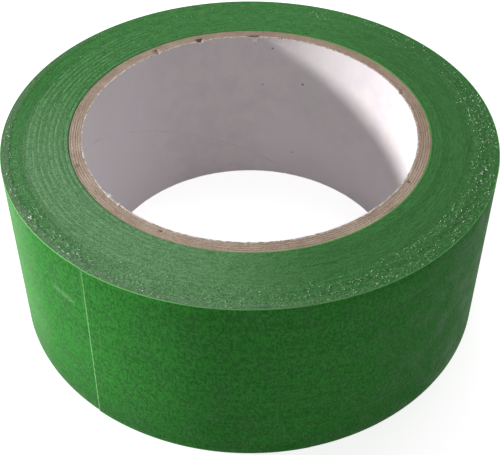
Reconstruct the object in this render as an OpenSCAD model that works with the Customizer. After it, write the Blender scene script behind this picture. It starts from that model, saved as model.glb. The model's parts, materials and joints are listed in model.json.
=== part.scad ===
/* [Core] */
// Inside diameter of the core, which slips over a dispenser's hub
core_bore_d = 76.2; // [50:0.1:100]
// Thickness of the white paper that lines the core
liner_t = 0.3; // [0.2:0.05:0.6]
// Thickness of each kraft paperboard ply
kraft_ply_t = 0.54; // [0.3:0.02:0.9]

/* [Tape] */
// Width of the tape, which is also the length of the core
tape_w = 45; // [18:1:100]
// Thickness of the crepe paper that backs the tape
paper_t = 0.11; // [0.08:0.01:0.25]
// Thickness of the adhesive on the inner side of the paper
adhesive_t = 0.03; // [0.02:0.005:0.06]
// Laps of tape in each wound band
band_laps = 12; // [6:1:20]
// How far the bands are shifted sideways against each other
band_wander = 0.2; // [0.05:0.05:0.6]

/* [Free end] */
// Direction of the cut end of the tape, anticlockwise from +X
end_angle = 234.5; // [0:0.5:360]
// Length of each stretch of the free end that can be peeled up
stretch_len = 12; // [6:1:18]
// Air left under the free end where it lies on the lap below
free_end_gap = 0.02; // [0.01:0.01:0.05]
// Air left across each fold line of the free end
fold_gap = 0.05; // [0.02:0.01:0.2]

/* [Hidden] */
kraft_plies = 5;
bands = 9;
stretches = 4;

// The core, from its bore outwards
core_r = core_bore_d / 2;
kraft_r = core_r + liner_t;
core_outer_r = kraft_r + kraft_plies * kraft_ply_t;

// The wound tape, from the core outwards. The last lap is a part of its own.
tape_t = paper_t + adhesive_t;
band_t = band_laps * tape_t;
roll_r = core_outer_r + bands * band_t;
pack_r = roll_r - tape_t;
reach = 2 * roll_r;

// The free end lies on the first part of the outermost turn
stretch_angle = stretch_len / roll_r * 180 / PI;
free_angle = stretches * stretch_angle;

fold_gap_angle = fold_gap / roll_r * 180 / PI;

// Angle between the shifts of one band and the next
wander_step = 150;

kraft_colour = [0.63, 0.52, 0.43];
liner_colour = [0.93, 0.92, 0.91];
side_colour = [0.27, 0.50, 0.28];
paper_colour = [0.16, 0.47, 0.15];
adhesive_colour = [0.55, 0.68, 0.47];

$fn = 180;

// Sideways shift of a band: the lowest one rests on the floor
function band_shift(i) = band_wander * (1 - cos(wander_step * (i - 1))) / 2;

// Shift at the height where the outermost lap lies
lap_shift = band_shift(bands);

// A plain tube between two radii
module tube(inner_r, outer_r, length) {
    difference() {
        cylinder(r = outer_r, h = length);
        translate([0, 0, -1]) cylinder(r = inner_r, h = length + 2);
    }
}

module core_liner() {
    color(liner_colour) tube(core_r, kraft_r, tape_w);
}

module kraft_ply(i) {
    inner_r = kraft_r + (i - 1) * kraft_ply_t;
    color(kraft_colour) tube(inner_r, inner_r + kraft_ply_t, tape_w);
}

// Outline of one turn of the wound strip, measured from the cut end. Two half
// discs with centres half a tape thickness apart make the radius fall by one
// tape thickness over the turn, and leave a step of that height at the end.
module turn_outline(r) {
    intersection() {
        circle(r);
        translate([-reach, 0]) square([2 * reach, reach]);
    }
    translate([-tape_t / 2, 0])
        intersection() {
            circle(r - tape_t / 2);
            translate([-reach, -reach]) square([2 * reach, reach]);
        }
}

// Wedge of the plane between two angles less than 180 degrees apart
module sector(from_angle, to_angle) {
    polygon([
        [0, 0],
        reach * [cos(from_angle), sin(from_angle)],
        reach * [cos((from_angle + to_angle) / 2), sin((from_angle + to_angle) / 2)],
        reach * [cos(to_angle), sin(to_angle)]
    ]);
}

// Places a shape that is drawn from the cut end of the tape
module at_cut_end(shift) {
    translate([0, 0, shift]) rotate(end_angle) children();
}

// A band of laps. The outermost band ends in the turn that carries the last lap.
module tape_band(i) {
    inner_r = core_outer_r + (i - 1) * band_t;
    color(side_colour)
        if (i < bands)
            translate([0, 0, band_shift(i)]) tube(inner_r, inner_r + band_t, tape_w);
        else
            at_cut_end(band_shift(i))
                linear_extrude(tape_w)
                    difference() {
                        turn_outline(pack_r);
                        circle(inner_r);
                    }
}

// The outermost lap, as far as the free end
module outer_lap() {
    color(paper_colour)
        at_cut_end(lap_shift)
            linear_extrude(tape_w)
                difference() {
                    turn_outline(roll_r);
                    turn_outline(pack_r);
                    sector(0, free_angle);
                }
}

// One layer of one stretch of the free end. Stretch 1 meets the outermost lap
// and the last stretch ends in the cut edge.
module stretch(i, inner_r, layer_t) {
    at_cut_end(lap_shift)
        linear_extrude(tape_w)
            intersection() {
                difference() {
                    circle(inner_r + layer_t);
                    circle(inner_r);
                }
                sector(
                    free_angle - i * stretch_angle,
                    free_angle - (i - 1) * stretch_angle - fold_gap_angle
                );
            }
}

module end_paper(i) {
    color(paper_colour) stretch(i, pack_r + free_end_gap + adhesive_t, paper_t);
}

module end_adhesive(i) {
    color(adhesive_colour) stretch(i, pack_r + free_end_gap, adhesive_t);
}

core_liner();
for (i = [1 : kraft_plies])
    kraft_ply(i);
for (i = [1 : bands])
    tape_band(i);
outer_lap();
for (i = [1 : stretches]) {
    end_paper(i);
    end_adhesive(i);
}
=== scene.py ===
import json
import math
import random

import bmesh
import bpy
from mathutils import Matrix, Vector, noise


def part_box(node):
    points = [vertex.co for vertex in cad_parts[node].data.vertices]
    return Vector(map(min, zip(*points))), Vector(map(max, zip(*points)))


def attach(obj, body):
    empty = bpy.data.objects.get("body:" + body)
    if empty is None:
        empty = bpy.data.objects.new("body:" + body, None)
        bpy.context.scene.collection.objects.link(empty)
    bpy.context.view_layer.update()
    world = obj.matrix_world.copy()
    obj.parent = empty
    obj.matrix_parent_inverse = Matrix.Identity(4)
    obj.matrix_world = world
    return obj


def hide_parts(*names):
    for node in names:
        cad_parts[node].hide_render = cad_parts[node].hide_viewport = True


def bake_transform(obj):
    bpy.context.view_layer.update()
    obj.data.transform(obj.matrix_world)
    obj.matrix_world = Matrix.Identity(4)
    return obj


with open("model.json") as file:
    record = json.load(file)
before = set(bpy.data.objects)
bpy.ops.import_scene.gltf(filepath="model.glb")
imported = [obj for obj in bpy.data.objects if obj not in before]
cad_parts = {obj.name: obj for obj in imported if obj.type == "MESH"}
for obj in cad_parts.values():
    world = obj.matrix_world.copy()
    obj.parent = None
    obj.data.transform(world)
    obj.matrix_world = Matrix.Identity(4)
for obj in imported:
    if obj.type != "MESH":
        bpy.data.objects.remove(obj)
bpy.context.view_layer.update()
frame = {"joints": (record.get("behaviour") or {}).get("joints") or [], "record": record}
print("frame loaded")

scene = bpy.context.scene
scene.view_settings.view_transform = "Standard"

mm = 0.001
fullTurn = 2 * math.pi
quarter = math.pi / 2


# sizes read from the frame


def polar(radius, angle, height):
    return Vector((radius * math.cos(angle), radius * math.sin(angle), height))


def ringRadius(node):
    low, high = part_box(node)
    return (high.x - low.x) / 2


plyNumbers, bandNumbers, stretchNumbers = range(1, 6), range(1, 10), range(1, 5)
lastBand, lastStretch = bandNumbers[-1], stretchNumbers[-1]
hinges = {j["name"]: Vector(j["pos_m"]) for j in frame["joints"]}
boreRadius = frame["record"]["mounts"][0]["dims"]["r_mm"] * mm
linerRadius = ringRadius("core_liner")
plyRadii = [linerRadius] + [ringRadius(f"kraft_ply_{i}") for i in plyNumbers]
bandRadii = [plyRadii[-1]] + [ringRadius(f"tape_band_{i}") for i in bandNumbers]
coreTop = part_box("core_liner")[1].z
lapLow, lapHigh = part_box("outer_lap")
hingeRadius = hinges["peel_1"].to_2d().length
hingeAngles = [
    math.atan2(hinges[f"peel_{i}"].y, hinges[f"peel_{i}"].x) % fullTurn
    for i in stretchNumbers
]
stretchAngle = (hingeAngles[0] - hingeAngles[1]) % fullTurn
cutAngle = hingeAngles[-1] - stretchAngle  # where the tape ends

tape = {"paper": 0.11 * mm, "adhesive": 0.03 * mm, "gap": 0.02 * mm}
tapeThickness = tape["paper"] + tape["adhesive"]
rollRadius = hingeRadius - tape["gap"]
packRadius = rollRadius - tapeThickness
bandRadii[-1] = packRadius


# camera and lights

cameraPlace = {
    "back": 178.6 * mm,
    "height": 180.6 * mm,
    "tilt": math.radians(90 - 39.05),
    "lens": 70.52,
    "shiftX": 0.0005,
    "shiftY": -0.14,
    "sensor": 36,
    "nearest": 0.01,
}
cameraData = bpy.data.cameras.new("camera")
cameraData.sensor_width = cameraPlace["sensor"]
cameraData.sensor_fit = "HORIZONTAL"
cameraData.lens = cameraPlace["lens"]
cameraData.shift_x = cameraPlace["shiftX"]
cameraData.shift_y = cameraPlace["shiftY"]
cameraData.clip_start = cameraPlace["nearest"]
camera = bpy.data.objects.new("camera", cameraData)
camera.location = (0, -cameraPlace["back"], cameraPlace["height"])
camera.rotation_euler = (cameraPlace["tilt"], 0, 0)
scene.collection.objects.link(camera)
scene.camera = camera

lights = {
    "sky": 0.25,
    "aim": Vector((0, 0, 0.03)),
    "key": {"from": 175, "height": 15, "away": 1.3, "size": 0.2, "watts": 19.6},
    "soft": {"from": 75, "height": 62, "away": 1.4, "size": 1.0, "watts": 6.0},
}


def addLamp(name, lamp):
    data = bpy.data.lights.new(name, "AREA")
    data.shape = "DISK"
    data.size = lamp["size"]
    data.energy = lamp["watts"]
    turn, up = math.radians(lamp["from"]), math.radians(lamp["height"])
    direction = polar(math.cos(up), turn, math.sin(up))
    obj = bpy.data.objects.new(name, data)
    obj.location = lights["aim"] + direction * lamp["away"]
    obj.rotation_euler = direction.to_track_quat("Z", "Y").to_euler()
    scene.collection.objects.link(obj)


addLamp("keyLamp", lights["key"])
addLamp("softLamp", lights["soft"])


# shader building


def connect(tree, node, inputs):
    for key, value in inputs.items():
        if isinstance(value, bpy.types.NodeSocket):
            tree.links.new(value, node.inputs[key])
        else:
            node.inputs[key].default_value = value


def put(tree, kind, inputs, **settings):
    node = tree.nodes.new(kind)
    for key, value in settings.items():
        setattr(node, key, value)
    connect(tree, node, inputs)
    return node


def calc(tree, operation, a, b=0.0):
    return put(tree, "ShaderNodeMath", {0: a, 1: b}, operation=operation).outputs[0]


def times(tree, *values):
    result = values[0]
    for value in values[1:]:
        result = calc(tree, "MULTIPLY", result, value)
    return result


def weigh(tree, *shares):
    # the sum of some values, each times its weight
    parts = [calc(tree, "MULTIPLY", value, weight) for value, weight in shares]
    result = parts[0]
    for part in parts[1:]:
        result = calc(tree, "ADD", result, part)
    return result


def vectorCalc(tree, operation, a, b=None):
    inputs = {0: a} if b is None else {0: a, 1: b}
    node = put(tree, "ShaderNodeVectorMath", inputs, operation=operation)
    single = operation in ("LENGTH", "DISTANCE", "DOT_PRODUCT")
    return node.outputs["Value" if single else "Vector"]


def fade(tree, value, low, high, atLow=0.0, atHigh=1.0):
    inputs = {0: value, 1: low, 2: high, 3: atLow, 4: atHigh}
    node = put(tree, "ShaderNodeMapRange", inputs, interpolation_type="SMOOTHSTEP")
    return node.outputs[0]


def mixTone(tree, amount, a, b):
    inputs = {0: amount, 6: a, 7: b}
    return put(tree, "ShaderNodeMix", inputs, data_type="RGBA").outputs[2]


def tint(tree, base, mask, coat):
    # lays the coat's colour over the base, as strongly as the coat says
    colour, strength = coat
    return mixTone(tree, times(tree, mask, strength), base, colour)


def grain(tree, vector, scale, detail, roughness, distortion=0.0):
    inputs = {"Vector": vector, "Scale": scale, "Detail": detail}
    inputs |= {"Roughness": roughness, "Distortion": distortion}
    return put(tree, "ShaderNodeTexNoise", inputs).outputs["Fac"]


def drawnGrain(tree, vector, stretch, *settings):
    # grain that is drawn out differently along each direction
    inputs = {"Vector": vector, "Scale": stretch}
    drawn = put(tree, "ShaderNodeMapping", inputs).outputs[0]
    return grain(tree, drawn, *settings)


def relief(tree, height, strength, distance):
    inputs = {"Height": height, "Strength": strength, "Distance": distance}
    return put(tree, "ShaderNodeBump", inputs).outputs["Normal"]


def tone(red, green, blue):
    def linear(c):
        c = c / 255
        return c / 12.92 if c <= 0.04045 else ((c + 0.055) / 1.055) ** 2.4

    return (linear(red), linear(green), linear(blue), 1.0)


def newMaterial(name, roughness, specular=0.5):
    material = bpy.data.materials.new(name)
    material.use_nodes = True
    tree = material.node_tree
    surface = tree.nodes["Principled BSDF"]
    surface.inputs["Roughness"].default_value = roughness
    surface.inputs["Specular IOR Level"].default_value = specular
    return material, tree


def dress(material, colour, normal, roughness=None):
    tree = material.node_tree
    inputs = {"Base Color": colour, "Normal": normal}
    if roughness:
        inputs["Roughness"] = roughness
    connect(tree, tree.nodes["Principled BSDF"], inputs)
    return material


vectorNames = ("Place", "Round", "Streak", "Toward")


def newGroup(name, inputs, outputs):
    tree = bpy.data.node_groups.new(name, "ShaderNodeTree")
    for way, labels in (("INPUT", inputs), ("OUTPUT", outputs)):
        for label in labels:
            kind = "NodeSocketVector" if label in vectorNames else "NodeSocketFloat"
            tree.interface.new_socket(label, in_out=way, socket_type=kind)
    given = put(tree, "NodeGroupInput", {}).outputs
    return tree, given, put(tree, "NodeGroupOutput", {})


def useGroup(tree, group, inputs):
    return put(tree, "ShaderNodeGroup", inputs, node_tree=group).outputs


ringScale = 50.0  # the round coordinates are about as large as the roll's radius in mm


# place on the roll, in millimetres: along the radius, round the turn, and height


def makeRingSpace():
    labels = ["Radius", "Height", "Round", "Place"]
    tree, given, result = newGroup("ringSpace", ["Place"], labels)
    place = vectorCalc(tree, "MULTIPLY", given["Place"], (1 / mm, 1 / mm, 1 / mm))
    split = put(tree, "ShaderNodeSeparateXYZ", {0: place})
    flat = vectorCalc(tree, "MULTIPLY", place, (1.0, 1.0, 0.0))
    radius = vectorCalc(tree, "LENGTH", flat)
    around = vectorCalc(tree, "NORMALIZE", flat)
    sides = put(tree, "ShaderNodeSeparateXYZ", {0: around}).outputs
    together = put(
        tree,
        "ShaderNodeCombineXYZ",
        {
            0: radius,
            1: times(tree, sides[0], ringScale),
            2: times(tree, sides[1], ringScale),
        },
    )
    outputs = {
        "Radius": radius,
        "Height": split.outputs[2],
        "Round": together.outputs[0],
        "Place": place,
    }
    connect(tree, result, outputs)
    return tree


# how much a spot lies toward one side of the roll, from 0 to 1


def makeSideMask():
    labels = ["Round", "Toward", "From", "To"]
    tree, given, result = newGroup("sideMask", labels, ["Mask"])
    facing = vectorCalc(tree, "DOT_PRODUCT", given["Round"], given["Toward"])
    connect(tree, result, {"Mask": fade(tree, facing, given["From"], given["To"])})
    return tree


# paper fibres: long soft streaks, short hairs and a cloudy mottle


def makePaperFibre():
    grains = {  # scale where it isn't given, detail, roughness and distortion
        "streaks": (3.0, 0.6, 0.3),
        "hairs": (2.0, 0.5, 1.2),
        "cloud": (0.22, 3.0, 0.6),
        "speck": (1.9, 2.0, 0.6),
    }
    hairFineness, hairEdge, speckShare = 2.3, (0.60, 0.72), 0.5
    labels = ["Streaks", "Hairs", "Cloud", "Relief"]
    takes = ["Place", "Streak", "Fineness"]
    tree, given, result = newGroup("paperFibre", takes, labels)
    place, fineness = given["Place"], given["Fineness"]
    drawn = vectorCalc(tree, "MULTIPLY", place, given["Streak"])
    streaks = grain(tree, drawn, fineness, *grains["streaks"])
    hairs = grain(tree, drawn, times(tree, fineness, hairFineness), *grains["hairs"])
    speck = times(tree, grain(tree, place, *grains["speck"]), speckShare)
    outputs = {
        "Streaks": streaks,
        "Hairs": fade(tree, hairs, *hairEdge),
        "Cloud": grain(tree, place, *grains["cloud"]),
        "Relief": calc(tree, "ADD", speck, streaks),
    }
    connect(tree, result, outputs)
    return tree


ringSpace = makeRingSpace()
sideMask = makeSideMask()
paperFibre = makePaperFibre()


def onRoll(tree):
    coordinates = put(tree, "ShaderNodeTexCoord", {}).outputs["Object"]
    return useGroup(tree, ringSpace, {"Place": coordinates})


def toward(tree, where, degrees, low, high):
    angle = math.radians(degrees)
    direction = (0.0, math.cos(angle) / ringScale, math.sin(angle) / ringScale)
    inputs = {"Round": where["Round"], "Toward": direction, "From": low, "To": high}
    return useGroup(tree, sideMask, inputs)["Mask"]


def maskMakers(tree, where, sides, steps):
    def side(key):
        return toward(tree, where, *sides[key])

    def step(value, key):
        return fade(tree, value, *steps[key])

    return side, step


def fibreOf(tree, where, streak, fineness):
    inputs = {"Place": where["Place"], "Streak": streak, "Fineness": fineness}
    return useGroup(tree, paperFibre, inputs)


# In each material, a layer is a colour and its strength, a side is an azimuth in
# degrees and how far toward it a mask starts and is whole, and a step is as in fade.


def makeTapeSide():
    look = {
        "dark": tone(46, 109, 45),
        "light": tone(76, 147, 74),
        "shaded": (tone(40, 96, 39), 0.45),
        # painted highlight: pale lines on the ridge crests
        "ridge": (tone(134, 184, 130), 0.75),
        # pale dust, partly painted sheen
        "paleDustAndSheen": (tone(134, 174, 134), 0.7),
        "smooth": (tone(36, 116, 36), 0.75),
        "rim": (tone(104, 138, 100), 0.75),
        "bright": (tone(146, 188, 142), 0.6),
        "pit": (tone(26, 76, 30), 0.6),
        "dash": (tone(26, 76, 30), 0.5),
        # painted highlight and painted shade where the tape's inner edge meets the core
        "coreEdgeHighlight": (tone(78, 178, 66), 0.8),
        "coreEdgeShade": (tone(22, 84, 30), 0.7),
        "bump": (0.5, 0.0001),
    }
    sides = {
        "shaded": (345, -0.1, 0.7),
        "ridgeHighlights": (192, 0.0, 0.95),
        "dustAndSheen": (222, 0.35, 1.0),
        "sidePatch": (190, 0.55, 0.95),
        "rim": (215, -0.1, 0.9),
        "rough": (300, -0.75, 0.4),
        "dashes": (310, -0.3, 0.5),
        "coreEdgeHighlight": (350, -0.2, 0.5),
        "coreEdgeShade": (170, 0.2, 0.7),
    }
    inside = bandRadii[0] / mm
    steps = {
        "shade": (0.40, 0.60),
        "ridgeCrest": (0.45, 1.0),
        "ridgeHighlightBreak": (0.42, 0.56, 0.1, 1.0),
        "ridgeEnd": (50.0, 51.6, 1.0, 0.0),  # radii in mm
        "dustAndSheenGrain": (0.35, 0.65, 0.3, 0.85),
        "outer": (50.6, 52.0),
        "rim": (54.2, 55.0),
        "core": (inside + 0.12, inside + 0.3, 1.0, 0.0),
        "rough": (48.5, 52.0),
        "cleanGrain": (0.35, 0.65, 1.0, 0.45),
        "rimGrain": (0.35, 0.6, 0.4, 1.0),
        "bright": (0.56, 0.66),
        "pit": (0.44, 0.34),
        "dash": (0.66, 0.73),
        "roughness": (0.3, 0.7, 0.52, 0.72),
    }
    grains = {
        "fine": (2.7, 2.0, 0.7),
        "brushed": ((2.8, 0.42, 0.42), 1.0, 2.0, 0.6),
        "slow": ((0.25, 0.06, 0.06), 1.0, 1.0, 0.5),
        "crumbs": (1.9, 3.0, 0.75, 0.6),
        "dashes": ((2.6, 0.16, 0.16), 1.0, 1.0, 0.5),
    }
    ridgePitch, ridgeWander = 1.2, 5.0
    material, tree = newMaterial("tapeSide", 0.6, 0.25)
    where = onRoll(tree)
    radius, around = where["Radius"], where["Round"]
    side, step = maskMakers(tree, where, sides, steps)
    fine = grain(tree, where["Place"], *grains["fine"])
    brushed = drawnGrain(tree, around, *grains["brushed"])
    slow = drawnGrain(tree, around, *grains["slow"])
    shade = weigh(tree, (fine, 0.62), (brushed, 0.38))
    green = mixTone(tree, step(shade, "shade"), look["dark"], look["light"])
    green = tint(tree, green, side("shaded"), look["shaded"])
    # painted highlight: pale ridge lines on the side toward the key lamp, where the low
    # light catches the ridge crests; grain breaks them up
    turns = weigh(tree, (radius, fullTurn / ridgePitch), (slow, ridgeWander))
    crests = step(calc(tree, "SINE", turns), "ridgeCrest")
    highlightShare, ended = step(shade, "ridgeHighlightBreak"), step(radius, "ridgeEnd")
    ridgeHighlights = times(tree, crests, highlightShare, ended, side("ridgeHighlights"))
    green = tint(tree, green, ridgeHighlights, look["ridge"])
    # pale dust, partly painted sheen: it lightens the side toward the key lamp
    dustAndSheen = times(tree, side("dustAndSheen"), step(fine, "dustAndSheenGrain"))
    green = tint(tree, green, dustAndSheen, look["paleDustAndSheen"])
    rim = step(radius, "rim")
    sidePatch = calc(tree, "SUBTRACT", step(radius, "outer"), rim)
    sidePatch = times(tree, sidePatch, side("sidePatch"), step(fine, "cleanGrain"))
    green = tint(tree, green, sidePatch, look["smooth"])
    dull = times(tree, rim, side("rim"), step(fine, "rimGrain"))
    green = tint(tree, green, dull, look["rim"])
    rough = times(tree, step(radius, "rough"), side("rough"))
    crumbs = grain(tree, where["Place"], *grains["crumbs"])
    bright = times(tree, step(crumbs, "bright"), rough)
    green = tint(tree, green, bright, look["bright"])
    pits = times(tree, step(crumbs, "pit"), rough)
    green = tint(tree, green, pits, look["pit"])
    dashes = drawnGrain(tree, around, *grains["dashes"])
    dashes = times(tree, step(dashes, "dash"), side("dashes"))
    green = tint(tree, green, dashes, look["dash"])
    # painted highlight where the tape's inner edge faces the key lamp, painted shade
    # where it faces away
    boundary = step(radius, "core")
    for key in ("coreEdgeHighlight", "coreEdgeShade"):
        green = tint(tree, green, times(tree, boundary, side(key)), look[key])
    height = weigh(tree, (brushed, 0.6), (fine, 0.9), (bright, 0.8), (pits, -0.8))
    bumps = relief(tree, height, *look["bump"])
    roughness = step(fine, "roughness")
    return dress(material, green, bumps, roughness)


def scuffMark(tree, place, scuff):
    # a short pale rub between two spots
    start, end = Vector(scuff["from"]), Vector(scuff["to"])
    length, way = (end - start).length, (end - start).normalized()
    offset = vectorCalc(tree, "SUBTRACT", place, start[:])
    along = vectorCalc(tree, "DOT_PRODUCT", offset, way[:])
    away = vectorCalc(tree, "LENGTH", vectorCalc(tree, "CROSS_PRODUCT", offset, way[:]))
    last = length - scuff["tail"]
    broken = grain(tree, place, *scuff["grain"])
    return times(
        tree,
        fade(tree, away, *scuff["width"], 1.0, 0.0),
        fade(tree, along, -0.5, scuff["nose"]),
        fade(tree, along, last, length + scuff["nose"], 1.0, 0.0),
        fade(tree, broken, *scuff["gaps"]),
    )


def makeTapeBack():
    topMm, lowMm = lapHigh.z / mm, lapLow.z / mm
    look = {
        "dark": tone(27, 104, 27),
        "light": tone(54, 148, 51),
        # painted sheen on the side facing the key lamp
        "paintedSheen": (tone(112, 172, 104), 0.4),
        # painted shade, low on the left front and on the right side
        "paintedShade": tone(34, 88, 34),
        "paintedShadeShares": (0.45, 0.25),
        "hair": (tone(116, 186, 108), 0.4),
        # paler frayed edge with a painted rim highlight
        "edge": tone(132, 216, 124),
        "scuff": (tone(138, 186, 136), 0.55),
        "sheen": tone(190, 235, 180),
        "bump": (0.4, 0.00008),
    }
    sides = {
        "paintedSheen": (192, 0.86, 1.0),
        "paintedShade": (212, 0.6, 0.95),
        "dim": (345, 0.5, 1.0),
        "highlightShare": (208, 0.2, 0.95),
    }
    steps = {
        "shade": (0.42, 0.58),
        "curl": (0.0, 0.012, 1.0, 0.0),
        "curlGaps": (0.52, 0.66),
        "paintedShade": (0, 15, 1.0, 0.0),  # height in mm
        "upper": (topMm - 0.24, topMm - 0.1),
        "lower": (lowMm + 0.24, lowMm + 0.1),
        "highlightShare": (0.0, 1.0, 0.42, 0.95),
        "roughness": (0.3, 0.7, 0.58, 0.74),
    }
    grains = {
        "cells": ((1.0, 1.0, 0.8), 1.7, 3.0, 0.8),
        "lines": ((0.03, 0.03, 1.3), 1.0, 2.0, 0.6),
        "curl": (0.8, 1.0, 0.5, 0.8),
    }
    scuff = {  # all in mm
        "from": (-40.69, -38.76, 33.89),
        "to": (-34.93, -44.02, 33.03),
        "width": (0.05, 1.4),
        "nose": 1.0,
        "tail": 2.0,
        "grain": (1.6, 3.0, 0.75),
        "gaps": (0.38, 0.62),
    }
    material, tree = newMaterial("tapeBack", 0.65, 0.15)
    surface = tree.nodes["Principled BSDF"]
    surface.inputs["Sheen Weight"].default_value = 0.05
    surface.inputs["Sheen Roughness"].default_value = 0.4
    surface.inputs["Sheen Tint"].default_value = look["sheen"]
    where = onRoll(tree)
    place, height = where["Place"], where["Height"]
    side, step = maskMakers(tree, where, sides, steps)
    fibre = fibreOf(tree, where, (1.0, 1.0, 0.45), 2.0)
    streaks, cloud = fibre["Streaks"], fibre["Cloud"]
    cells = drawnGrain(tree, place, *grains["cells"])
    lines = drawnGrain(tree, place, *grains["lines"])
    shade = weigh(tree, (cells, 0.5), (streaks, 0.25), (cloud, 0.15), (lines, 0.1))
    green = mixTone(tree, step(shade, "shade"), look["dark"], look["light"])
    curl = calc(tree, "SUBTRACT", grain(tree, place, *grains["curl"]), 0.5)
    curl = step(calc(tree, "ABSOLUTE", curl), "curl")
    curl = times(tree, curl, step(streaks, "curlGaps"))
    green = tint(tree, green, curl, look["hair"])
    # painted sheen: paler paper on the side facing the key lamp
    green = tint(tree, green, side("paintedSheen"), look["paintedSheen"])
    # painted shade: darker toward the bottom on the left front, and darker on the right
    # side, away from the key lamp
    paintedShade = times(tree, step(height, "paintedShade"), side("paintedShade"), look["paintedShadeShares"][0])
    dim = times(tree, side("dim"), look["paintedShadeShares"][1])
    paintedShade = calc(tree, "MAXIMUM", paintedShade, dim)
    green = mixTone(tree, paintedShade, green, look["paintedShade"])
    # the top and bottom edges: partly the paler frayed paper edge, partly a painted rim
    # highlight, strongest on the side toward the key lamp
    edge = calc(tree, "MAXIMUM", step(height, "upper"), step(height, "lower"))
    edge = times(tree, edge, step(side("highlightShare"), "highlightShare"))
    green = mixTone(tree, edge, green, look["edge"])
    green = tint(tree, green, scuffMark(tree, place, scuff), look["scuff"])
    bumps = weigh(tree, (cells, 0.7), (fibre["Relief"], 1.0), (curl, 0.5))
    bumps = relief(tree, bumps, *look["bump"])
    roughness = step(cloud, "roughness")
    return dress(material, green, bumps, roughness)


def makeTornEdge():
    look = {
        "dark": tone(112, 186, 104),
        "light": tone(176, 226, 166),
        "green": tone(62, 150, 58),
        "bump": (0.5, 0.00008),
    }
    frayGrain, frayEdge, greenTop = (2.4, 3.0, 0.7), (0.35, 0.65), (32, 40, 0.05, 0.55)
    material, tree = newMaterial("tornEdge", 0.8)
    where = onRoll(tree)
    fray = grain(tree, where["Place"], *frayGrain)
    pale = mixTone(tree, fade(tree, fray, *frayEdge), look["dark"], look["light"])
    whole = fade(tree, where["Height"], *greenTop)
    colour = mixTone(tree, whole, pale, look["green"])
    bumps = relief(tree, fray, *look["bump"])
    return dress(material, colour, bumps)


def makeTapeGlue():
    look = {"dark": tone(94, 146, 80), "light": tone(124, 168, 102)}
    grains = ((1.0, 1.0, 0.6), 2.2, 4.0, 0.75)
    material, tree = newMaterial("tapeGlue", 0.25)
    wet = drawnGrain(tree, onRoll(tree)["Place"], *grains)
    shade = fade(tree, wet, 0.3, 0.7)
    colour = mixTone(tree, shade, look["dark"], look["light"])
    bumps = relief(tree, wet, 0.4, 0.0001)
    roughness = fade(tree, wet, 0.3, 0.7, 0.3, 0.5)
    return dress(material, colour, bumps, roughness)


def makeKraftBoard():
    outside = bandRadii[0] / mm
    look = {
        "dark": tone(162, 140, 122),
        "light": tone(204, 184, 166),
        # painted shade on the side away from the key lamp
        "kraftShade": (tone(142, 118, 98), 0.4),
        "line": (tone(130, 106, 88), 0.5),
        "pale": (tone(216, 202, 188), 0.25),
        "deep": (tone(84, 62, 46), 0.55),
        "bump": (0.6, 0.00012),
    }
    steps = {
        "shade": (0.36, 0.64),
        "lines": (0.60, 0.72),
        "nicks": (0.69, 0.76),
        "edge": (outside - 0.16, outside - 0.04),
    }
    grains = {
        "plies": ((3.2, 0.08, 0.08), 1.0, 1.0, 0.5),
        "nicks": ((1.6, 0.9, 0.9), 1.0, 2.0, 0.6),
    }
    sides = {"kraftShade": (40, 0.0, 0.8), "lines": (180, -0.7, 0.2)}
    material, tree = newMaterial("kraftBoard", 0.85, 0.25)
    where = onRoll(tree)
    side, step = maskMakers(tree, where, sides, steps)
    plies = drawnGrain(tree, where["Round"], *grains["plies"])
    fibre = fibreOf(tree, where, (1.0, 1.0, 1.0), 2.4)
    streaks, cloud = fibre["Streaks"], fibre["Cloud"]
    shade = weigh(tree, (plies, 0.25), (streaks, 0.45), (cloud, 0.3))
    brown = mixTone(tree, step(shade, "shade"), look["dark"], look["light"])
    # painted shade: the kraft is darker on the side away from the key lamp
    brown = tint(tree, brown, side("kraftShade"), look["kraftShade"])
    lines = times(tree, step(plies, "lines"), side("lines"))
    brown = tint(tree, brown, lines, look["line"])
    brown = tint(tree, brown, fibre["Hairs"], look["pale"])
    nicks = drawnGrain(tree, where["Round"], *grains["nicks"])
    brown = tint(tree, brown, step(nicks, "nicks"), look["deep"])
    brown = tint(tree, brown, step(where["Radius"], "edge"), look["line"])
    bumps = relief(tree, fibre["Relief"], *look["bump"])
    return dress(material, brown, bumps)


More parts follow.
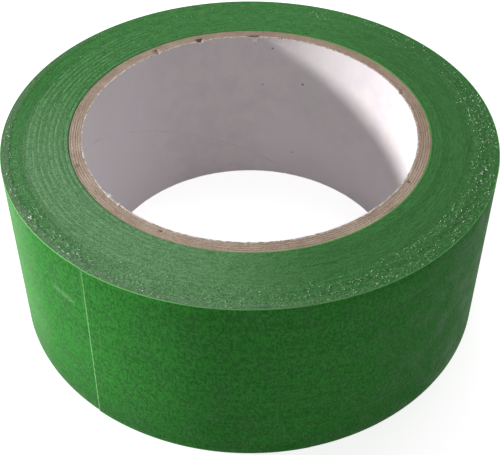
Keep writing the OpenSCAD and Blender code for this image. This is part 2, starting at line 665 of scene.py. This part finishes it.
def makeLinerPaper():
    rimMm = coreTop / mm
    look = {
        "cool": tone(234, 226, 231),
        "warm": tone(241, 234, 233),
        "green": (tone(230, 231, 229), 0.35),
        # painted light: whitens paper that lies in shade
        "sidePatch": (tone(252, 246, 250), 0.85),
        "speck": (tone(110, 88, 78), 0.8),
        "seam": (tone(182, 172, 176), 0.2),
        "kraft": tone(168, 148, 132),
        "bump": (0.25, 0.0001),
    }
    seam = {"pitch": 125.0, "start": 0.6925, "width": 0.5}
    specks = [  # azimuth in degrees, height and size in mm
        (81.0, 41.8, 0.34),
        (68.4, 31.9, 0.42),
        (84.8, 30.2, 0.26),
        (72.0, 8.2, 0.24),
        (238.0, 12.0, 0.30),
        (305.0, 27.0, 0.26),
    ]
    sides = {"left": (175, 0.45, 0.95), "right": (50, 0.6, 0.95)}
    steps = {
        "mottle": (0.3, 0.7),
        "bands": (0.5, 0.68),
        "low": (12, 28, 0.7, 0.0),  # height in mm
        "seamWear": (0.42, 0.6),
        "rim": (rimMm - 0.12, rimMm - 0.03),
        "torn": (0.42, 0.56, 0.1, 0.85),
        "roughness": (0.3, 0.7, 0.68, 0.82),
    }
    grains = {
        "bands": ((0.09, 0.09, 0.02), 1.0, 2.0, 0.5),
        "torn": ((2.0, 0.7, 0.7), 1.0, 3.0, 0.65),
    }
    material, tree = newMaterial("linerPaper", 0.75, 0.25)
    where = onRoll(tree)
    place, height = where["Place"], where["Height"]
    fibre = fibreOf(tree, where, (1.0, 1.0, 0.35), 0.9)
    side, step = maskMakers(tree, where, sides, steps)
    paper = mixTone(tree, step(fibre["Cloud"], "mottle"), look["cool"], look["warm"])
    bands = drawnGrain(tree, place, *grains["bands"])
    paper = tint(tree, paper, step(bands, "bands"), look["green"])
    # painted light: the lining paper is whitened on the left side and on the lower
    # right, where it lies in shade
    right = times(tree, side("right"), step(height, "low"))
    sidePatch = calc(tree, "MAXIMUM", side("left"), right)
    paper = tint(tree, paper, sidePatch, look["sidePatch"])
    spots = 0.0
    for azimuth, level, size in specks:
        centre = polar(boreRadius / mm, math.radians(azimuth), level)
        away = vectorCalc(tree, "DISTANCE", place, centre[:])
        spot = fade(tree, away, size * 0.6, size, 1.0, 0.0)
        spots = calc(tree, "MAXIMUM", spots, spot)
    paper = tint(tree, paper, spots, look["speck"])
    split = put(tree, "ShaderNodeSeparateXYZ", {0: place}).outputs
    turn = calc(tree, "ARCTAN2", split[1], split[0])
    spiral = weigh(tree, (height, 1 / seam["pitch"]), (turn, -1 / fullTurn))
    offset = calc(tree, "FRACT", calc(tree, "ADD", spiral, seam["start"] + 1.0))
    distance = calc(tree, "ABSOLUTE", calc(tree, "SUBTRACT", offset, 0.5))
    crease = fade(tree, distance, 0.0, seam["width"] / seam["pitch"], 1.0, 0.0)
    crease = times(tree, crease, step(fibre["Cloud"], "seamWear"))
    paper = tint(tree, paper, crease, look["seam"])
    torn = drawnGrain(tree, where["Round"], *grains["torn"])
    cut = times(tree, step(height, "rim"), step(torn, "torn"))
    paper = mixTone(tree, cut, paper, look["kraft"])
    bumps = weigh(tree, (fibre["Relief"], 0.35), (crease, -0.35))
    bumps = relief(tree, bumps, *look["bump"])
    roughness = step(fibre["Cloud"], "roughness")
    return dress(material, paper, bumps, roughness)


def makeScrap(name, dark, light, roughness):
    patchEdge = (0.35, 0.65)
    material, tree = newMaterial(name, roughness)
    patches = grain(tree, onRoll(tree)["Place"], 1.6, 2.0, 0.6)
    colour = mixTone(tree, fade(tree, patches, *patchEdge), dark, light)
    bumps = relief(tree, patches, 0.4, 0.0001)
    return dress(material, colour, bumps)


tapeSide = makeTapeSide()
tapeBack = makeTapeBack()
tornEdge = makeTornEdge()
tapeGlue = makeTapeGlue()
kraftBoard = makeKraftBoard()
linerPaper = makeLinerPaper()
glueScrap = makeScrap("glueScrap", tone(168, 200, 160), tone(240, 246, 232), 0.35)
paperScrap = makeScrap("paperScrap", tone(214, 206, 200), tone(250, 248, 246), 0.8)
print("materials made")


# mesh building


def clamp(value):
    return max(0.0, min(1.0, value))


def place(vertex):
    co = vertex.co
    return math.hypot(co.x, co.y), math.atan2(co.y, co.x) % fullTurn


def spinLine(points, closed, turn, steps):
    mesh = bmesh.new()
    line = [mesh.verts.new(point) for point in points]
    following = line[1:] + line[:1] if closed else line[1:]
    edges = [mesh.edges.new(pair) for pair in zip(line, following)]
    bmesh.ops.spin(
        mesh,
        geom=line + edges,
        cent=(0, 0, 0),
        axis=(0, 0, 1),
        angle=turn,
        steps=steps,
        use_merge=closed,
    )
    bmesh.ops.recalc_face_normals(mesh, faces=mesh.faces)
    return mesh


def spinRing(profile, steps):
    points = [(radius, 0, height) for radius, height in profile]
    return spinLine(points, True, fullTurn, steps)


def spinSheet(radius, heights, start, turn, steps, thickness):
    points = [polar(radius, start, height) for height in heights]
    mesh = spinLine(points, False, turn, steps)
    middle = polar(radius, start + turn / 2, 0)
    if sum(face.normal.dot(middle) for face in mesh.faces) < 0:
        bmesh.ops.reverse_faces(mesh, faces=mesh.faces)
    bmesh.ops.solidify(mesh, geom=mesh.faces[:], thickness=thickness)
    return mesh


def rows(low, high, count):
    return [low + (high - low) * k / count for k in range(count + 1)]


def newObject(name, mesh, materials):
    data = bpy.data.meshes.new(name)
    mesh.to_mesh(data)
    mesh.free()
    for material in materials:
        data.materials.append(material)
    obj = bpy.data.objects.new(name, data)
    scene.collection.objects.link(obj)
    return obj


def finishPiece(name, mesh, materials, sharp=50):
    obj = newObject(name, mesh, materials)
    obj.data.shade_smooth()
    obj.data.set_sharp_from_angle(angle=math.radians(sharp))
    return obj


# the wound tape: every lap has its own slit edge

wound = {
    "steps": 400,
    "groove": 0.02 * mm,
    "lift": 0.01 * mm,
    "ridge": 0.009 * mm,
    "ridgePitch": 1.2 * mm,
    "ridgeEnd": 51.5 * mm,
    "ridgeFade": 4 * mm,
    "ridgeSwing": 0.9,
    "ridgeLeast": 0.35,
    "ridgeLow": math.radians(10),
    "phases": (2.1, 0.6),  # of the underside, then of the upper side
    "sway": 0.02 * mm,
    "swayAround": 2,
    "swayAcross": 400,
    "swayBelow": 50,
    "ramp": 0.84 * mm,
    "calm": 0.5,
    "wall": 0.2 * mm,
    "wallTilt": 0.3,
    "sharp": 70,
    "seed": 11,
}


def lapProfile(inner, outer, low, high, draw):
    laps = max(1, round((outer - inner) / tapeThickness))
    width, groove, lift = (outer - inner) / laps, wound["groove"], wound["lift"]
    top, bottom = [(inner, high - groove)], [(inner, low + groove)]
    for k in range(laps):
        start = inner + k * width
        up, down = draw.uniform(-1, 1) * lift, draw.uniform(-1, 1) * lift
        top += [(start + 0.5 * width, high + up), (start + width, high - groove)]
        bottom += [(start + 0.5 * width, low + down), (start + width, low + groove)]
    return top + bottom[::-1]


def windingShape(radius, angle, upper):
    # low ridges round the inner part of each side, with a slow sway on top
    phase = wound["ridgeSwing"] * math.sin(angle + wound["phases"][upper])
    ridge = math.sin(fullTurn * radius / wound["ridgePitch"] + phase)
    inner = clamp((wound["ridgeEnd"] - radius) / wound["ridgeFade"])
    facing = 0.5 - 0.5 * math.cos(angle - wound["ridgeLow"])
    side = wound["ridgeLeast"] + (1 - wound["ridgeLeast"]) * facing
    across = radius * wound["swayAcross"] + (0 if upper else wound["swayBelow"])
    sway = noise.noise(polar(wound["swayAround"], angle, across)) * wound["sway"]
    return wound["ridge"] * ridge * inner * side + sway


bandBoxes = [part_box(f"tape_band_{i}") for i in bandNumbers]


def bandEdge(number, upper):
    low, high = bandBoxes[max(1, min(lastBand, number)) - 1]
    return high.z if upper else low.z


def bandMiddle(upper):
    return sum(bandEdge(i, upper) for i in bandNumbers) / len(bandNumbers)


def bandShift(number, radius, upper):
    # eases the sideways step between one band and the next
    own = bandEdge(number, upper)
    inner, outer = bandRadii[number - 1], bandRadii[number]
    shift = (bandMiddle(upper) - own) * wound["calm"]
    for other, distance in ((number - 1, radius - inner), (number + 1, outer - radius)):
        share = clamp(distance / wound["ramp"])
        ease = 1 - share * share * (3 - 2 * share)
        shift += 0.5 * ease * (bandEdge(other, upper) - own) * (1 - wound["calm"])
    return shift


def makeBand(number, draw):
    low, high = bandBoxes[number - 1]
    inner, outer = bandRadii[number - 1], bandRadii[number]
    mesh = spinRing(lapProfile(inner, outer, low.z, high.z, draw), wound["steps"])
    middle = (low.z + high.z) / 2
    for vertex in mesh.verts:
        radius, angle = place(vertex)
        upper = vertex.co.z > middle
        shape = windingShape(radius, angle, upper)
        shift = bandShift(number, radius, upper)
        vertex.co.z = max(0.0, vertex.co.z + shift + (shape if upper else -shape))
        if number == lastBand:  # it follows the spiral of the outermost turn
            fall = tapeThickness * ((angle - cutAngle) % fullTurn) / fullTurn
            share = (radius - inner) / (outer - inner)
            vertex.co = polar(radius - fall * share, angle, vertex.co.z)
    materials = [tapeSide]
    if number == lastBand:
        materials.append(tapeBack)
        for face in mesh.faces:
            reach = face.calc_center_median().to_2d().length
            if abs(face.normal.z) < wound["wallTilt"] and reach > outer - wound["wall"]:
                face.material_index = 1
    name = f"tapeBand{number}"
    band = finishPiece(name, mesh, materials, wound["sharp"])
    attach(band, "roll")
    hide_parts(f"tape_band_{number}")


lapDraw = random.Random(wound["seed"])
for bandNumber in bandNumbers:
    makeBand(bandNumber, lapDraw)
print("wound tape made")


# the outermost turn and the free end

freeEnd = {
    "columns": 24,
    "rows": 56,
    "fray": 0.05 * mm,
    "frayScale": 2400,
    "fraySpot": (7.3, 1.9),
    "frayDetail": 3.1,
    "tornWidth": 0.2 * mm,
    "tornShare": 0.8,
    "leanTop": math.radians(0.08),
    "leanFoot": math.radians(-0.8),
    "bevel": 0.04 * mm,
    "rimAngle": math.radians(60),
    "level": 0.01 * mm,
    "ripple": 0.008 * mm,
    "rippleAround": 3,
    "rippleAlong": 60,
    "foldStart": 0.6,  # how far the span round each hinge reaches along a stretch, on each side
    "foldEnd": 0.75,
}
outerTurn = {"rows": 14, "steps": 620, "slack": 0.001}


def softenRim(mesh):
    rim = []
    for edge in mesh.edges:
        rise = abs(edge.verts[0].co.z - edge.verts[1].co.z)
        folded = edge.calc_face_angle(0) > freeEnd["rimAngle"]
        if folded and rise < freeEnd["level"]:
            rim.append(edge)
    bmesh.ops.bevel(
        mesh,
        geom=rim,
        offset=freeEnd["bevel"],
        offset_type="OFFSET",
        affect="EDGES",
        segments=2,
        profile=0.5,
        material=-1,
    )


def ripple(mesh):
    for vertex in mesh.verts:
        angle = place(vertex)[1]
        along = vertex.co.z * freeEnd["rippleAlong"]
        point = polar(freeEnd["rippleAround"], angle, along)
        vertex.co += polar(noise.noise(point) * freeEnd["ripple"], angle, 0)


def makeOuterTurn():
    turn = fullTurn - len(stretchNumbers) * stretchAngle
    heights = rows(lapLow.z, lapHigh.z, outerTurn["rows"])
    steps = outerTurn["steps"]
    mesh = spinSheet(rollRadius, heights, hingeAngles[0], turn, steps, tapeThickness)
    for vertex in mesh.verts:
        radius, angle = place(vertex)
        past = (angle - cutAngle + outerTurn["slack"]) % fullTurn
        vertex.co = polar(radius - tapeThickness * past / fullTurn, angle, vertex.co.z)
    softenRim(mesh)
    ripple(mesh)
    lap = finishPiece("outerTurn", mesh, [tapeBack])
    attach(lap, "roll")
    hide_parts("outer_lap")


def endFray(angle, height):
    point = Vector((height * freeEnd["frayScale"], *freeEnd["fraySpot"]))
    lean = (height - lapLow.z) / (lapHigh.z - lapLow.z)
    lean = freeEnd["leanFoot"] + (freeEnd["leanTop"] - freeEnd["leanFoot"]) * lean
    ragged = noise.noise(point) + 0.5 * noise.noise(point * freeEnd["frayDetail"])
    return angle + lean + ragged * freeEnd["fray"] / rollRadius


def fringeEnd(mesh, hasTorn):
    # the first two columns make the torn edge, and the next three follow it
    torn = freeEnd["tornWidth"] / rollRadius
    column = stretchAngle / freeEnd["columns"]
    following = 4.5
    for vertex in mesh.verts:
        reach, angle = place(vertex)
        end = endFray(cutAngle, vertex.co.z)
        fromEnd = (angle - cutAngle) / column
        if fromEnd < 0.5:
            angle = end
        elif fromEnd < 1.5:
            angle = end + torn
        elif fromEnd < following:
            angle += (end - cutAngle) * (following - fromEnd) / 4
        vertex.co = polar(reach, angle, vertex.co.z)
    for face in mesh.faces:
        middle = face.calc_center_median()
        angle = math.atan2(middle.y, middle.x) % fullTurn
        away = angle - endFray(cutAngle, middle.z)
        if away < torn * freeEnd["tornShare"] and hasTorn:
            face.material_index = 1


def makeStretch(number, layer, radius, materials):
    start = hingeAngles[number - 1]
    heights = rows(lapLow.z, lapHigh.z, freeEnd["rows"])
    columns, thickness = freeEnd["columns"], tape[layer]
    mesh = spinSheet(radius, heights, start, -stretchAngle, columns, thickness)
    if number == lastStretch:
        fringeEnd(mesh, len(materials) > 1)
    if layer == "paper":
        softenRim(mesh)
    ripple(mesh)
    piece = finishPiece(f"{layer}Stretch{number}", mesh, materials)
    fold = polar(hingeRadius, start, 0)
    along = polar(hingeRadius, start - stretchAngle, 0) - fold
    start, end = fold - along * freeEnd["foldStart"], fold + along * freeEnd["foldEnd"]
    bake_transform(piece)
    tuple(start)
    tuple(end)
    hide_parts(f"end_{layer}_{number}")


makeOuterTurn()
for stretchNumber in stretchNumbers:
    paperRadius = rollRadius + tape["gap"]
    glueRadius = paperRadius - tape["paper"]
    makeStretch(stretchNumber, "paper", paperRadius, [tapeBack, tornEdge])
    makeStretch(stretchNumber, "adhesive", glueRadius, [tapeGlue])
print("outermost turn and free end made")


# the core: kraft plies and the white lining paper

core = {
    "steps": 600,
    "rim": 0.07 * mm,
    "rimDrop": 0.06 * mm,
    "rough": 0.045 * mm,
    "roughAround": 70,
    "roughAcross": 2500,
    "roughBelow": 300,
    "roughDetail": 2.7,
    "sharp": 60,
    "nicks": [  # azimuth in degrees, width and depth in mm, first and last ply
        (109.6, 1.6, 0.8, 1, 2),
        (127.0, 1.2, 0.5, 1, 3),
        (19.7, 0.9, 0.5, 1, 1),
        (88.0, 3.0, 0.5, 1, 1),
        (243.0, 0.5, 0.4, 2, 2),
        (268.0, 0.4, 0.2, 1, 1),
        (201.0, 0.4, 0.3, 3, 4),
        (330.0, 0.5, 0.35, 2, 3),
    ],
}


def angleGap(a, b):
    return abs((a - b + math.pi) % fullTurn - math.pi)


def nickDepth(angle, radius, ply):
    depth = 0.0
    for azimuth, width, deep, first, last in core["nicks"]:
        off = angleGap(angle, math.radians(azimuth)) * radius / (width * mm / 2)
        if first <= ply <= last and off < 1:
            depth = max(depth, deep * mm * math.sqrt(1 - off * off))
    return depth


def makePly(number):
    node = f"kraft_ply_{number}"
    low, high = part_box(node)
    inner, outer = plyRadii[number - 1], plyRadii[number]
    rim, drop = core["rim"], core["rimDrop"]
    third = (outer - inner) / 3
    corner = [(0, drop), (rim, 0), (third, 0)]
    top = [(inner + inset, high.z - down) for inset, down in corner]
    top += [(outer - inset, high.z - down) for inset, down in corner[::-1]]
    bottom = [(radius, low.z + high.z - height) for radius, height in top[::-1]]
    mesh = spinRing(top + bottom, core["steps"])
    middle = (low.z + high.z) / 2
    for vertex in mesh.verts:
        radius, angle = place(vertex)
        upper = vertex.co.z > middle
        across = radius * core["roughAcross"] + (0 if upper else core["roughBelow"])
        point = polar(core["roughAround"], angle, across)
        rough = noise.noise(point) + 0.5 * noise.noise(point * core["roughDetail"])
        rough *= core["rough"]
        if upper:
            vertex.co.z += rough - nickDepth(angle, radius, number)
        else:
            vertex.co.z += abs(rough)
    name = f"kraftPly{number}"
    ply = finishPiece(name, mesh, [kraftBoard], core["sharp"])
    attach(ply, "roll")
    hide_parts(node)


liner = {
    "steps": 720,
    "rows": 26,
    "edge": 0.10 * mm,
    "tears": [  # azimuth in degrees, width and depth in mm
        (88.0, 3.4, 1.5),
        (109.6, 1.8, 0.7),
        (127.0, 1.0, 0.6),
        (77.5, 1.0, 0.4),
        (20.0, 1.2, 0.5),
        (223.0, 2.0, 0.35),
        (315.0, 0.8, 0.4),
    ],
    "bow": 0.05 * mm,
    "bowAround": 1.6,
    "bowAlong": 1.2,
    "coarse": 45,
    "fine": 130,
    "fineShare": 0.6,
    "frayFrom": 0.94,  # shares of the height where the upper edge frays
    "rimFrom": 0.99,
    "frayBelow": 0.4,
}


def tearDepth(angle):
    depth = 0.0
    for azimuth, width, deep in liner["tears"]:
        off = angleGap(angle, math.radians(azimuth)) * boreRadius / (width * mm / 2)
        if off < 1:
            depth = max(depth, deep * mm * (1 - off))
    return depth


def makeLiner():
    low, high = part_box("core_liner")
    inner = [(boreRadius, height) for height in rows(low.z, high.z, liner["rows"])]
    outer = [(linerRadius, high.z), (linerRadius, low.z)]
    mesh = spinRing(inner + outer, liner["steps"])
    for vertex in mesh.verts:
        radius, angle = place(vertex)
        ring = polar(1, angle, 0)
        ragged = noise.noise(ring * liner["coarse"])
        ragged += liner["fineShare"] * noise.noise(ring * liner["fine"])
        share = (vertex.co.z - low.z) / (high.z - low.z)
        if share > liner["rimFrom"]:
            vertex.co.z += ragged * liner["edge"] - tearDepth(angle)
        elif share > liner["frayFrom"]:
            vertex.co.z += ragged * liner["edge"] * liner["frayBelow"]
        elif share < 1 - liner["rimFrom"]:
            vertex.co.z += abs(ragged) * liner["edge"]
        if radius < (boreRadius + linerRadius) / 2:
            spot = polar(liner["bowAround"], angle, share * liner["bowAlong"])
            vertex.co += ring * noise.noise(spot) * liner["bow"]
    piece = finishPiece("liner", mesh, [linerPaper], core["sharp"])
    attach(piece, "roll")
    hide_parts("core_liner")


for plyNumber in plyNumbers:
    makePly(plyNumber)
makeLiner()
print("core made")


# small scraps: adhesive pulled out of the slit edges, and torn lining paper


lump = {"bend": (-0.6, 0.6), "bumps": (0.7, 1.15), "curve": 1.5}


def addScrap(mesh, spot, size, turn, tilt, draw):
    made = bmesh.ops.create_icosphere(mesh, subdivisions=1, radius=1.0)
    matrix = (
        Matrix.Translation(spot)
        @ Matrix.Rotation(turn, 4, "Z")
        @ Matrix.Rotation(tilt, 4, "Y")
        @ Matrix.Diagonal((*size, 1))
    )
    bend = draw.uniform(*lump["bend"]) * lump["curve"]
    for vertex in made["verts"]:
        co = vertex.co * draw.uniform(*lump["bumps"])
        co.y += bend * co.x * co.x
        vertex.co = matrix @ co


strand = {
    "links": 6,
    "curl": 1.1,
    "straightest": 0.05,
    "tip": 0.2,
    "wave": 0.06,
    "waves": 9,
    "flat": 0.8,
    "lift": 0.01 * mm,
    "width": 0.06 * mm,
    "widths": (0.6, 1.3),
}


def strandShape():
    # a straight three-sided thread along X, cut into short links
    mesh = bmesh.new()
    size = {"radius1": 1, "radius2": 1, "depth": 1}
    bmesh.ops.create_cone(mesh, cap_ends=True, segments=3, **size)
    lay = Matrix.Rotation(quarter, 3, "Y")
    bmesh.ops.rotate(mesh, verts=mesh.verts, matrix=lay)
    for k in range(1, strand["links"]):
        everything = mesh.verts[:] + mesh.edges[:] + mesh.faces[:]
        spot = (k / strand["links"] - 0.5, 0, 0)
        bmesh.ops.bisect_plane(mesh, geom=everything, plane_co=spot, plane_no=(1, 0, 0))
    shape = bpy.data.meshes.new("strandShape")
    mesh.to_mesh(shape)
    mesh.free()
    return shape


def addStrand(mesh, shape, spot, length, width, turn, draw):
    # a thin curled thread of adhesive
    curve = draw.gauss(0, strand["curl"])
    if abs(curve) < strand["straightest"]:
        curve = strand["straightest"]
    wave = draw.uniform(0, fullTurn)
    start = turn - curve / 2
    first = len(mesh.verts)
    mesh.from_mesh(shape)
    mesh.verts.ensure_lookup_table()
    for vertex in mesh.verts[first:]:
        share = vertex.co.x + 0.5
        heading = turn + curve * (share - 0.5)
        across = polar(1, heading + quarter, 0)
        along = (polar(1, start + quarter, 0) - across) / curve
        belly = strand["tip"] + (1 - strand["tip"]) * math.sin(math.pi * share)
        thick = width * belly
        wiggle = strand["wave"] * length * math.sin(strand["waves"] * share + wave)
        shift = across * (vertex.co.y * thick + wiggle)
        shift.z = vertex.co.z * thick * strand["flat"] + strand["lift"]
        vertex.co = spot + along * length + shift


scraps = {
    # from and to azimuth, inner and outer radius, count, shortest, longest, slant
    "strands": [
        (172, 190, 53.9, 55.9, 26, 0.5, 1.6, 0.7),
        (190, 212, 53.2, 55.9, 46, 0.4, 1.5, 0.5),
        (212, 234, 52.2, 55.9, 64, 0.5, 1.7, 0.3),
        (234, 262, 53.6, 55.9, 44, 0.3, 1.0, 0.5),
        (262, 318, 50.4, 55.8, 120, 0.25, 0.9, 0.8),
        (318, 372, 50.0, 55.6, 150, 0.3, 1.1, 0.6),
        (10, 75, 50.5, 55.5, 70, 0.25, 0.8, 0.6),
        (75, 172, 50.5, 55.6, 60, 0.2, 0.6, 0.8),
    ],
    "crumbs": [  # from and to azimuth, inner and outer radius, count, longest
        (196, 250, 50.5, 55.9, 110, 0.16),
        (250, 372, 50.0, 55.6, 110, 0.13),
        (12, 196, 50.0, 55.6, 60, 0.12),
    ],
    "dabs": [  # azimuth, radius, length and width of the larger smears
        (214.6, 54.3, 0.55, 0.12),
        (218.3, 54.9, 0.62, 0.13),
        (226.6, 54.7, 0.60, 0.09),
        (204.0, 55.2, 0.42, 0.11),
        (206.5, 54.7, 0.35, 0.13),
        (247.4, 55.5, 0.20, 0.15),
        (250.6, 55.4, 0.26, 0.12),
        (180.6, 54.9, 0.40, 0.10),
        (198.4, 55.0, 0.55, 0.12),
        (201.2, 54.6, 0.50, 0.09),
        (214.9, 54.6, 0.75, 0.14),
        (215.9, 54.1, 0.40, 0.10),
        (228.2, 54.9, 0.70, 0.09),
        (229.6, 54.6, 0.50, 0.10),
        (224.0, 52.6, 0.34, 0.12),
        (248.6, 55.2, 0.24, 0.16),
    ],
    "outward": {"strands": 1.4, "crumbs": 1.2},
    "mostlyShort": 2.2,
    "crumbSizes": (0.4, 1.0),
    "crumbWidths": (0.4, 0.8),
    "crumbThickness": 0.04 * mm,
    "dabThickness": 0.07 * mm,
    "dabSlant": 0.15,
    "dabLift": 0.02 * mm,
    "sharp": 80,
    "seed": 23,
}


def drawRadius(inner, outer, power, draw):
    return (outer - (outer - inner) * draw.random() ** power) * mm


def makeGlueScraps():
    draw = random.Random(scraps["seed"])
    mesh = bmesh.new()
    shape = strandShape()
    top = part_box("tape_band_9")[1].z
    outward = scraps["outward"]
    for start, end, inner, outer, count, shortest, longest, slant in scraps["strands"]:
        for _ in range(count):
            angle = math.radians(draw.uniform(start, end))
            radius = drawRadius(inner, outer, outward["strands"], draw)
            extra = (longest - shortest) * draw.random() ** scraps["mostlyShort"]
            width = strand["width"] * draw.uniform(*strand["widths"])
            turn = angle + quarter + draw.gauss(0, slant)
            spot, length = polar(radius, angle, top), (shortest + extra) * mm
            addStrand(mesh, shape, spot, length, width, turn, draw)
    for start, end, inner, outer, count, longest in scraps["crumbs"]:
        for _ in range(count):
            angle = math.radians(draw.uniform(start, end))
            spot = polar(drawRadius(inner, outer, outward["crumbs"], draw), angle, top)
            length = longest * draw.uniform(*scraps["crumbSizes"]) * mm
            width = length * draw.uniform(*scraps["crumbWidths"])
            size = (length, width, scraps["crumbThickness"])
            addScrap(mesh, spot, size, draw.uniform(0, math.pi), 0.0, draw)
    for azimuth, radius, length, width in scraps["dabs"]:
        angle = math.radians(azimuth)
        size = (length * mm, width * mm, scraps["dabThickness"])
        turn = angle + quarter + draw.gauss(0, scraps["dabSlant"])
        spot = polar(radius * mm, angle, top + scraps["dabLift"])
        addScrap(mesh, spot, size, turn, 0.0, draw)
    bpy.data.meshes.remove(shape)
    bmesh.ops.recalc_face_normals(mesh, faces=mesh.faces)
    sharp = scraps["sharp"]
    piece = finishPiece("glueScraps", mesh, [glueScrap], sharp)
    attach(piece, "roll")


frayed = {
    "places": [  # from and to azimuth, count, longest in mm
        (217, 229, 30, 0.75),
        (218.5, 221, 12, 0.9),
        (62, 86, 46, 0.5),
        (86, 92, 8, 0.5),
        (98, 130, 34, 0.5),
        (10, 60, 18, 0.5),
        (312, 320, 8, 0.5),
        (230, 312, 14, 0.5),
    ],
    "shortest": 0.15,
    "spread": 0.09 * mm,
    "widths": (0.2, 0.45),
    "thickness": 0.07 * mm,
    "slant": 0.35,
    "tilt": 0.3,
    "lifts": (-0.05 * mm, 0.1 * mm),
    "sunk": 0.8,
    "seed": 31,
}


def makePaperScraps():
    draw = random.Random(frayed["seed"])
    mesh = bmesh.new()
    for start, end, count, longest in frayed["places"]:
        for _ in range(count):
            angle = math.radians(draw.uniform(start, end))
            radius = (linerRadius + boreRadius) / 2 + draw.gauss(0, frayed["spread"])
            length = draw.uniform(frayed["shortest"], longest) * mm
            width = length * draw.uniform(*frayed["widths"])
            turn = angle + quarter + draw.gauss(0, frayed["slant"])
            lift = draw.uniform(*frayed["lifts"]) - frayed["sunk"] * tearDepth(angle)
            spot = polar(radius, angle, coreTop + lift)
            tilt = draw.gauss(0, frayed["tilt"])
            addScrap(mesh, spot, (length, width, frayed["thickness"]), turn, tilt, draw)
    piece = finishPiece("paperScraps", mesh, [paperScrap], scraps["sharp"])
    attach(piece, "roll")


flap = {
    "azimuth": math.radians(88),
    "width": 3.2 * mm,
    "drop": 2.0 * mm,
    "lean": 0.45 * mm,
    "leanTurn": 2.2,
    "narrowing": 0.92,
    "taper": 0.8,
    "crumple": 0.12 * mm,
    "crumpleScale": (5, 4),
    "crumpleSpot": 2.0,
    "inset": 0.05 * mm,
    "below": 0.1 * mm,
    "thickness": 0.1 * mm,
}


def makeTornFlap():
    # a corner of the lining paper that hangs into the bore where its edge is torn
    mesh = bmesh.new()
    bmesh.ops.create_grid(mesh, x_segments=8, y_segments=6, size=0.5)
    acrossScale, downScale = flap["crumpleScale"]
    for vertex in mesh.verts:
        across, down = vertex.co.x, 0.5 - vertex.co.y
        narrow = 1 - flap["narrowing"] * down ** flap["taper"]
        point = Vector((across * acrossScale, down * downScale, flap["crumpleSpot"]))
        crumple = noise.noise(point) * flap["crumple"]
        angle = flap["azimuth"] + across * narrow * flap["width"] / boreRadius
        lean = flap["lean"] * math.sin(down * flap["leanTurn"])
        radius = boreRadius + flap["inset"] - lean - abs(crumple)
        height = coreTop - flap["below"] - down * flap["drop"] + crumple
        vertex.co = polar(radius, angle, height)
    bmesh.ops.recalc_face_normals(mesh, faces=mesh.faces)
    bmesh.ops.solidify(mesh, geom=mesh.faces[:], thickness=flap["thickness"])
    piece = finishPiece("tornFlap", mesh, [paperScrap])
    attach(piece, "roll")


makeGlueScraps()
makePaperScraps()
makeTornFlap()
print("scraps made")


# floor and background

white = (1, 1, 1, 1)


def makeFloor():
    look = {
        "dark": tone(198, 198, 198),
        "light": tone(204, 204, 204),
        "cloud": (9.0, 2.0, 0.5),
        "cloudEdge": (0.2, 0.8),
        "glow": 0.8,
        "half": 2.5,
    }
    material, tree = newMaterial("floorPaper", 0.9)
    surface = tree.nodes["Principled BSDF"]
    coordinates = put(tree, "ShaderNodeTexCoord", {}).outputs["Object"]
    cloud = fade(tree, grain(tree, coordinates, *look["cloud"]), *look["cloudEdge"])
    paper = mixTone(tree, cloud, look["dark"], look["light"])
    connect(tree, surface, {"Base Color": paper})
    light = put(tree, "ShaderNodeLightPath", {}).outputs
    seen = calc(tree, "MAXIMUM", light["Is Camera Ray"], light["Is Glossy Ray"])
    inputs = {"Color": white, "Strength": times(tree, seen, look["glow"])}
    glow = put(tree, "ShaderNodeEmission", inputs)
    both = put(tree, "ShaderNodeAddShader", {0: surface.outputs[0], 1: glow.outputs[0]})
    connect(tree, tree.nodes["Material Output"], {"Surface": both.outputs[0]})
    mesh = bmesh.new()
    bmesh.ops.create_grid(mesh, x_segments=8, y_segments=8, size=look["half"])
    obj = newObject("floor", mesh, [material])


def makeSky():
    world = bpy.data.worlds.new("studio")
    scene.world = world
    world.use_nodes = True
    tree = world.node_tree
    light = put(tree, "ShaderNodeLightPath", {}).outputs
    strength = fade(tree, light["Is Camera Ray"], 0, 1, lights["sky"], 1.0)
    connect(tree, tree.nodes["Background"], {"Color": white, "Strength": strength})


makeFloor()
makeSky()
print("floor and sky made")
